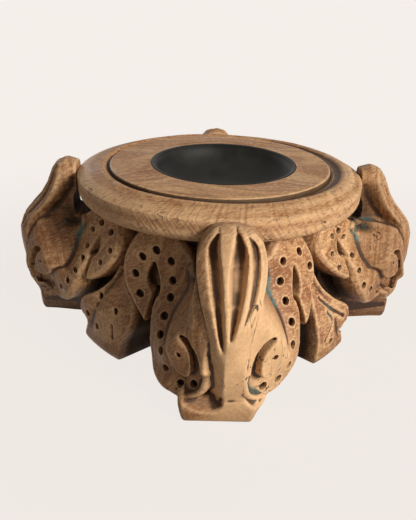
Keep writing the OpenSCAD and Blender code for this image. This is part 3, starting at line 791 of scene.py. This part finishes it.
def wood(name, lean, middle, pitch, fade=1.0, scraped=0.4, chatter_and_shade=0.0, painted_light_share=0.0, joint=()):
    """Teak: the years lie round a pith that leans and lies as given, with fibres and pores along it.

    fade, scraped and chatter are the strengths of stains, scraping and chisel marks; chatter also turns on the
    ring's painted shade. worn is the strength of the painted light and shade on the carving. joint gives the
    radius of each joint, darkened by painted shade of the gap and by dirt, and how wide it is.
    """
    f = Finish(name, Roughness=0.5, Specular_IOR_Level=0.2)
    stray = f.node("TexNoise", None, Vector=f.place, Scale=8, Detail=2, output="Color")
    stray = f.node("VectorMath", {"operation": 'MULTIPLY_ADD'}, stray, (0.03, 0.03, 0.03), f.place,
                   output="Vector")
    log = f.node("Mapping", None, Vector=stray, Rotation=lean, Location=middle)
    reach = f.node("VectorMath", {"operation": 'MULTIPLY'}, log, (1, 1, 0.05), output="Vector")
    reach = f.node("VectorMath", {"operation": 'LENGTH'}, reach, output="Value")
    years = f.node("TexNoise", {"noise_dimensions": '1D'}, W=reach / pitch, Scale=1.0, Detail=2.0,
                   Roughness=0.55)
    fibre = f.noise(log, 1, 3, 0.6, (620, 620, 34))
    pores = f.noise(log, 1, 2, 0.5, (1300, 1300, 70))
    patch = f.noise(f.place, 9, 3, 0.55)
    stain = f.noise(f.place, 23, 4, 0.6)
    crease, hollow = f.mark("crease"), f.mark("hollow")
    base = f.blend(f.between(years, 0.36, 0.62), LIGHT, TAN)
    base = f.blend(f.between(years, 0.56, 0.72) * 0.3, base, BROWN)
    base = f.blend(f.between(patch, 0.44, 0.66) * 0.6 * fade, base, RED)
    base = f.blend(f.between(fibre, 0.48, 0.7) * 0.5, base, BROWN)
    base = f.blend(f.between(pores, 0.58, 0.7) * 0.55, base, DARK)
    base = f.blend(f.between(stain, 0.52, 0.72) * 0.35 * fade, base, BROWN)
    x, y, z = (f.node("SeparateXYZ", None, f.place, output=k) for k in ("X", "Y", "Z"))
    if chatter_and_shade:
        # Painted shade: the ring's outer face is painted redder and browner towards the left, over a red tint of
        # its own, and the ring's left side is painted tan.
        base = f.blend(f.between(z, 0.1655, 0.163) * f.between(x, 0.06, -0.02, 0.35, 0.85), base, RED)
        base = f.blend(f.between(z, 0.1655, 0.163) * f.between(x, 0.06, -0.02, 0.05, 0.4), base, BROWN)
        base = f.blend(f.between(x, 0.0, -0.1) * 0.45, base, TAN)
    # Convex edges are painted paler: partly wear of the edges, partly a painted highlight.
    base = f.blend(f.between(crease, -0.15, -0.7) * 0.6, base, PALEST)
    # Scraped across the grain; the lit right side of the front is a painted highlight, its left side and the
    # foot are darker with painted shade.
    slant = f.node("Mapping", None, Vector=stray, Rotation=(0.6, 0.45, 0.3))
    scrape = f.noise(slant, 1, 3, 0.65, (190, 230, 620))
    base = f.blend(f.between(scrape, 0.51, 0.66) * scraped, base, BROWN)
    base = f.blend(f.between(scrape, 0.49, 0.34) * scraped, base, LIGHT if chatter_and_shade else PALEST)
    # Painted highlight: the right side of the front stalk and foot, where the lamp falls, is painted paler.
    base = f.blend(f.between(y, -0.14, -0.185) * f.between(x, -0.02, 0.005) * painted_light_share * 0.85, base, PALEST)
    # Painted shade: browner on the front's left side, at both far ends and on the foot near the floor.
    painted_shade = f.between(x, 0.12, 0.18, 0, 0.5) + f.between(y, -0.1, -0.14) * f.between(x, -0.01, -0.03) * 0.5
    painted_shade = painted_shade + f.between(x, -0.13, -0.17, 0, 0.35)
    base = f.blend((painted_shade + f.between(z, 0.022, 0.004, 0, 0.5)) * painted_light_share, base, BROWN)
    # Painted shade in the hollows, standing in for occlusion, together with the dark patina of the hollows.
    base = f.blend(f.between(hollow, 0.06, 0.7) * 0.7, base, BROWN)
    # Painted shade behind the carving, together with the black stain of these recesses.
    base = f.blend(f.mark("soot") * 0.93, base, DARK)
    # Painted shade in the creases, together with the dirt that lies in them.
    base = f.blend(f.between(crease, 0.08, 0.5) * 0.88, base, CREASE_SHADE_AND_DIRT)
    paint = 0.0
    for spot, reach in PAINT:
        off = f.node("VectorMath", {"operation": 'DISTANCE'}, f.place, spot, output="Value")
        paint = f.between(off, reach, reach * 0.4) + paint
    paint = paint * f.between(f.noise(f.place, 60, 4, 0.65), 0.44, 0.6) * f.between(crease + hollow, 0.1, 0.5)
    base = f.blend(paint * 0.75, base, TEAL)
    # Worm holes in a few patches, and short checks along the grain.
    holes = f.node("TexVoronoi", None, Vector=f.place, Scale=210, output="Distance")
    wormy = f.between(holes, 0.17, 0.11) * f.between(f.noise(f.place, 14, 1), 0.66, 0.7)
    checks = f.noise(log, 1, 2, 0.5, (60, 60, 9)) - 0.5
    checks = f.between(checks * checks, 0.00003, 0.000005) * f.between(f.noise(f.place, 31, 1), 0.58, 0.66)
    flaws = f.node("Math", {"operation": 'MAXIMUM'}, wormy, checks)
    base = f.blend(flaws * 0.9, base, DARK)
    # The joint round the disc is darkened: painted shade of the gap, together with dirt in the joint.
    flat = f.node("VectorMath", {"operation": 'MULTIPLY'}, f.place, (1, 1, 0), output="Vector")
    flat = f.node("VectorMath", {"operation": 'LENGTH'}, flat, output="Value")
    for where, wide in joint:
        off = flat - where
        base = f.blend(f.between(off * off, wide * wide, wide * wide * 0.15) * 0.85, base, DARK)
    rough = f.between(stain, 0.3, 0.7, 0.42, 0.6) + f.mark("soot") * 0.35
    height = fibre * 0.45 + scrape * scraped + years * 0.5 + f.noise(f.place, 110, 3) * 0.7
    height = height - pores * 0.3 - flaws * 1.5
    if chatter_and_shade:
        # The marks of a scraping chisel run slantwise round the turned piece.
        round_it = f.node("Math", {"operation": 'ARCTAN2'}, y, x) * 0.13
        out = f.node("VectorMath", {"operation": 'LENGTH'}, f.place, output="Value")
        spot = f.node("CombineXYZ", None, (round_it + out * 0.9) * 330, out * 60, 0.0, output="Vector")
        marks = f.node("TexNoise", None, Vector=spot, Scale=1.0, Detail=1.0)
        height = height + marks * chatter_and_shade
        base = f.blend(f.between(marks, 0.55, 0.7) * 0.3, base, BROWN)
    f.feed(Base_Color=base, Roughness=rough, Normal=f.bump(height, 0.0007, 0.9))
    return f.material


carved = wood("carved_teak", (0.16, 0.1, 0), (0.01, -0.02, 0), 0.0042, scraped=0.55, painted_light_share=0.8)
ring_wood = wood("turned_teak", (0, math.pi / 2 + 0.03, 0.05), (0.02, 0.03, 0), 0.0046, 0.8, 0.6, 1.5,
                 joint=[(0.1142, 0.0022)])
disc_wood = wood("waxed_teak", (0, math.pi / 2, -0.06), (0.06, -0.02, 0), 0.0040, 0.6, joint=[(0.1129, 0.0007)])
inner = wood("inner_timber", (0.1, 0, 0), (0, 0, 0), 0.004)

iron = Finish("blackened_iron", Metallic=0.5, Roughness=0.4, Specular_IOR_Level=0.3)
cloud = iron.noise(iron.place, 30, 4)
BLACK, GREY = (0.007, 0.007, 0.006, 1), (0.022, 0.022, 0.018, 1)
iron.feed(Base_Color=iron.blend(iron.between(cloud, 0.35, 0.7), BLACK, GREY),
          Roughness=iron.between(cloud, 0.3, 0.7, 0.48, 0.62))
iron.feed(Normal=iron.bump(iron.noise(iron.place, 400, 3), 0.0002, 0.4))


def dress(piece, material):
    piece.data.materials.clear()
    piece.data.materials.append(material)


for piece in corners + pendants:
    dress(piece, carved)
dress(ring, ring_wood)
dress(disc, disc_wood)
dress(dish, iron.material)
for node in ("core_block", "corner_dowels", "pendant_dowels", "ring_dowels"):
    for slot in frame["nodes"][node].material_slots:
        slot.material = inner


# The camera stands where the photograph was taken from, as far as it could be solved.
FOCAL_PX, PICTURE_PX, SENSOR = 587.2, 520, 36
cam = bpy.data.cameras.new("camera")
camera = bpy.data.objects.new("camera", cam)
bpy.context.scene.collection.objects.link(camera)
cam.sensor_width, cam.lens = SENSOR, SENSOR * FOCAL_PX / PICTURE_PX
pitch, roll, yaw = 0.444, 0.034, 0.017
ahead, up = Vector((0, math.cos(pitch), -math.sin(pitch))), Vector((0, math.sin(pitch), math.cos(pitch)))
right = Vector((1, 0, 0))
r, u = right * math.cos(roll) + up * math.sin(roll), up * math.cos(roll) - right * math.sin(roll)
view = Matrix((r, u, -ahead)).transposed().to_4x4()
view.translation = Vector((-0.008894, -0.59139, 0.342803))
camera.matrix_world = Matrix.Rotation(-yaw, 4, 'Z') @ view
bpy.context.scene.camera = camera


def lamp(name, spot, aim, size, power, colour=(1, 1, 1)):
    light = bpy.data.lights.new(name, 'AREA')
    light.size, light.energy, light.color = size, power, colour
    holder = bpy.data.objects.new(name, light)
    bpy.context.scene.collection.objects.link(holder)
    holder.location = spot
    holder.rotation_euler = (Vector(aim) - Vector(spot)).to_track_quat('-Z', 'Y').to_euler()


MIDDLE = (0, 0, 0.08)
lamp("key", (1.22, -1.2, 0.98), MIDDLE, 0.5, 38, (1, 0.97, 0.93))
lamp("fill", (-1.2, -0.7, 0.8), MIDDLE, 0.9, 0.4)
lamp("back", (-0.9, 1.3, 0.2), MIDDLE, 0.6, 5)

start_clean()
bpy.ops.mesh.primitive_plane_add(size=40, location=(0, 0, -0.0002))
floor = bpy.context.object
floor.name = "floor"
bpy.ops.object.transform_apply(location=True)
# The pale ground shows as such to these rays, and otherwise gives only little light.
SEEN_BY = ("Is Camera Ray", "Is Glossy Ray", "Is Transmission Ray")
PALE = (0.913, 0.863, 0.823, 1)
ground = Finish("floor", Base_Color=(0.4, 0.36, 0.33, 1), Roughness=0.9)
ray = ground.tree.nodes.new("ShaderNodeLightPath")
direct = Wire(ground, ray.outputs[SEEN_BY[0]])
for name in SEEN_BY[1:]:
    direct = ground.node("Math", {"operation": 'MAXIMUM'}, direct, Wire(ground, ray.outputs[name]))
away = ground.node("VectorMath", {"operation": 'LENGTH'}, ground.place, output="Value")
away = ground.between(away, 0.25, 0.7)
glow = ground.node("Emission", None, PALE, 1.0)
matt = Wire(ground, ground.shader.outputs[0])
mixed = ground.node("MixShader", None, direct * (0.92 + away * 0.08), matt, glow)
ground.tree.links.new(mixed.socket, ground.tree.nodes["Material Output"].inputs[0])
dress(floor, ground.material)

world = bpy.data.worlds.new("studio")
bpy.context.scene.world = world
world.use_nodes = True
tree = world.node_tree
lit, shown, mix, path = (tree.nodes.new("ShaderNode" + kind)
                         for kind in ("Background", "Background", "MixShader", "LightPath"))
lit.inputs[0].default_value, lit.inputs[1].default_value = (1, 0.98, 0.96, 1), 0.12
shown.inputs[0].default_value, shown.inputs[1].default_value = PALE, 1.0
seen = path.outputs[SEEN_BY[0]]
for name in SEEN_BY[1:]:
    most = tree.nodes.new("ShaderNodeMath")
    most.operation = 'MAXIMUM'
    tree.links.new(seen, most.inputs[0])
    tree.links.new(path.outputs[name], most.inputs[1])
    seen = most.outputs[0]
tree.links.new(seen, mix.inputs[0])
tree.links.new(lit.outputs[0], mix.inputs[1])
tree.links.new(shown.outputs[0], mix.inputs[2])
tree.links.new(mix.outputs[0], tree.nodes["World Output"].inputs[0])
bpy.context.scene.view_settings.view_transform = 'Standard'
